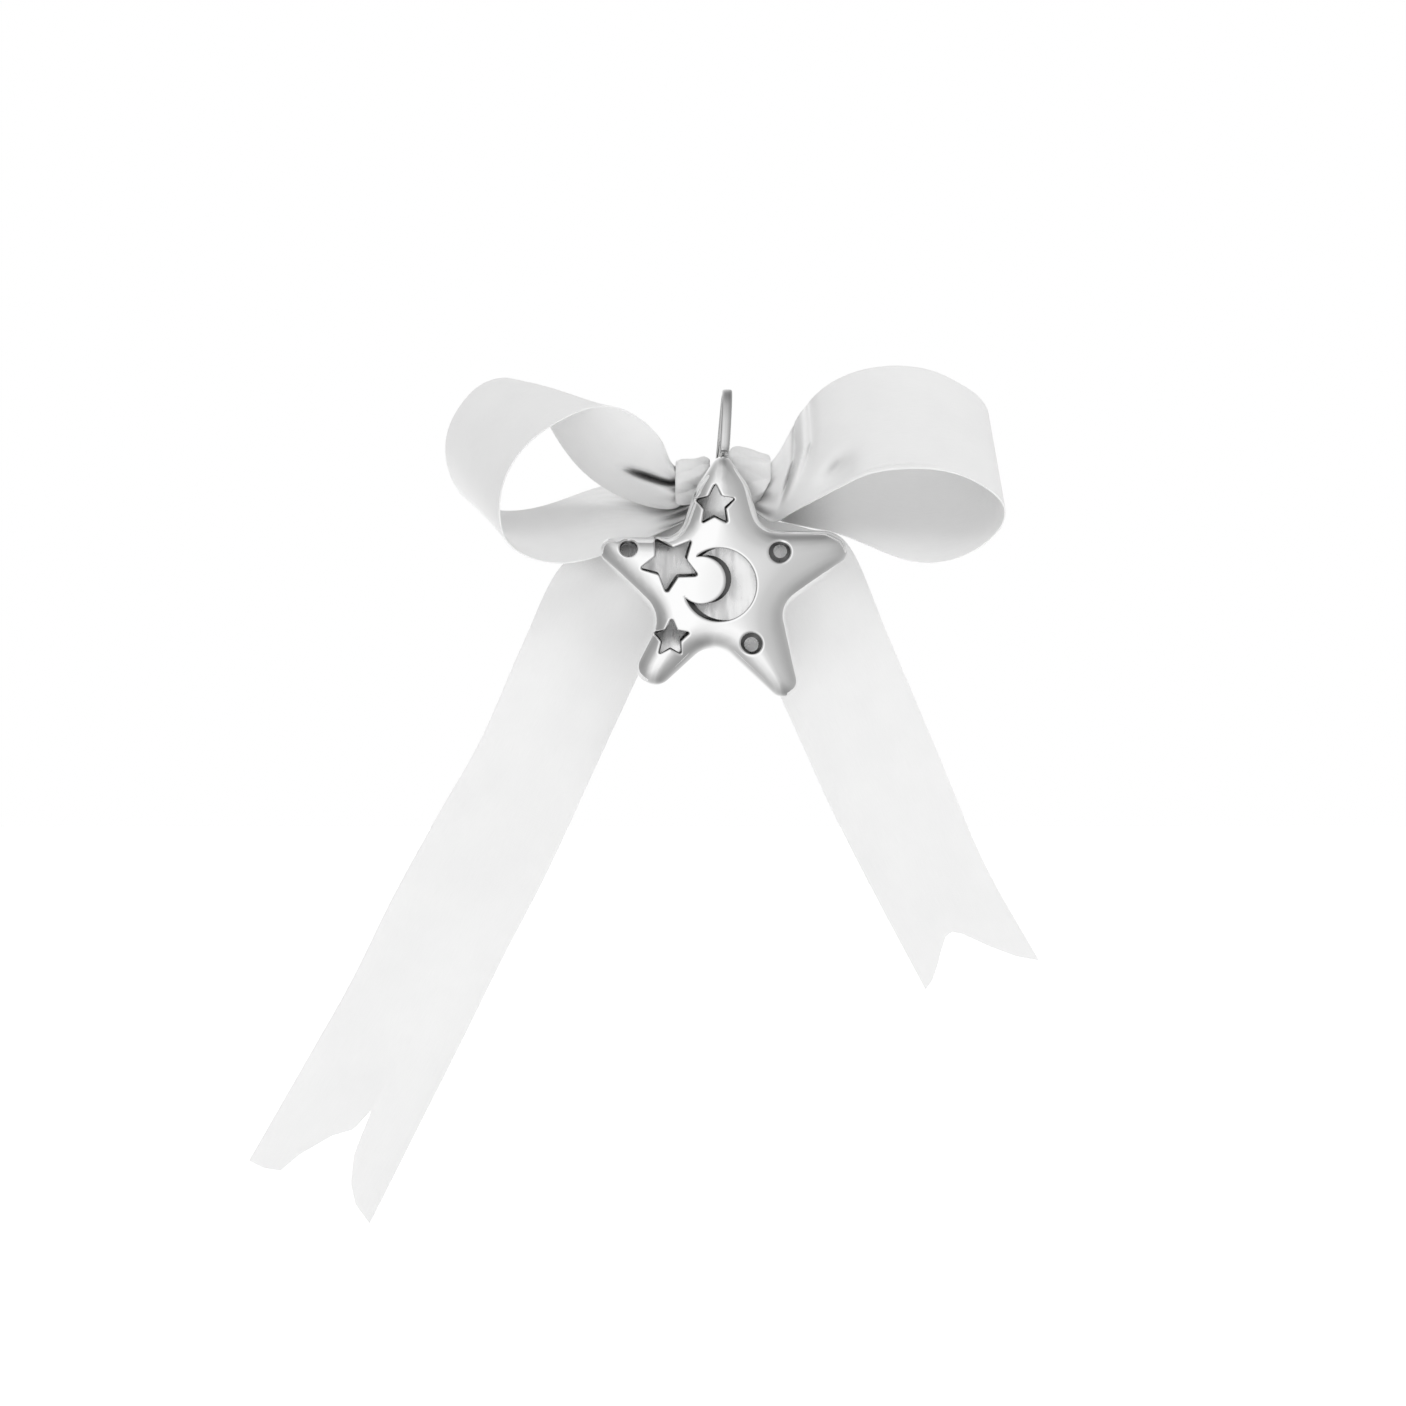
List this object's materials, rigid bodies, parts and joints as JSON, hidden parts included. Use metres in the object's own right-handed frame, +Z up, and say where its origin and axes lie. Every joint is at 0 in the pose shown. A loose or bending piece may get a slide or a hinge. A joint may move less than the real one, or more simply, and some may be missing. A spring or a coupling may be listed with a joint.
{
  "type": "ribbon gift bow",
  "caption": "Satin ribbon gift bow with open loops, swallow-tailed ends and a pierced hollow metal star hung on a ring in front of the knot.",
  "frame": {"origin": "middle of the flat patch on the back of the knot, where the bow is stuck or tied to a gift", "axes": "+Z up, +X to the right as seen from the front, +Y from the bow back into the gift, so the bow faces -Y"},
  "size_m": [0.1525, 0.0299, 0.1656],
  "materials": {
    "satin_ribbon": "white polyester satin, soft broad sheen, fine weave",
    "binding_thread": "white sewing thread, matt",
    "polished_metal": "mirror-polished silver-coloured plating"
  },
  "bodies": {
    "bow": {"left_loop": "satin_ribbon", "right_loop": "satin_ribbon", "waist_core": "satin_ribbon", "left_wrap_turn": "satin_ribbon", "right_wrap_turn": "satin_ribbon", "wrap_end_patch": "satin_ribbon", "binding_thread": "binding_thread"},
    "star": {"hanging_ring": "polished_metal", "star_front_shell": "polished_metal", "star_back_shell": "polished_metal"},
    "left_tail": {"left_tail": "satin_ribbon"},
    "right_tail": {"right_tail": "satin_ribbon"}
  },
  "joints": [
    {"name": "star_swing", "type": "hinge", "parent": "bow", "child": "star", "pos_m": [0, -0.0064, 0.001], "axis": [-1, 0, 0], "range_deg": [0, 30]},
    {"name": "left_tail_swing", "type": "hinge", "parent": "bow", "child": "left_tail", "pos_m": [-0.0055, -0.0044, -0.006], "axis": [0, 1, 0], "range_deg": [-16, 8], "stiffness_Nm_per_rad": 0.03},
    {"name": "right_tail_swing", "type": "hinge", "parent": "bow", "child": "right_tail", "pos_m": [0.0055, -0.0022, -0.006], "axis": [0, -1, 0], "range_deg": [-16, 12], "stiffness_Nm_per_rad": 0.03}
  ]
}
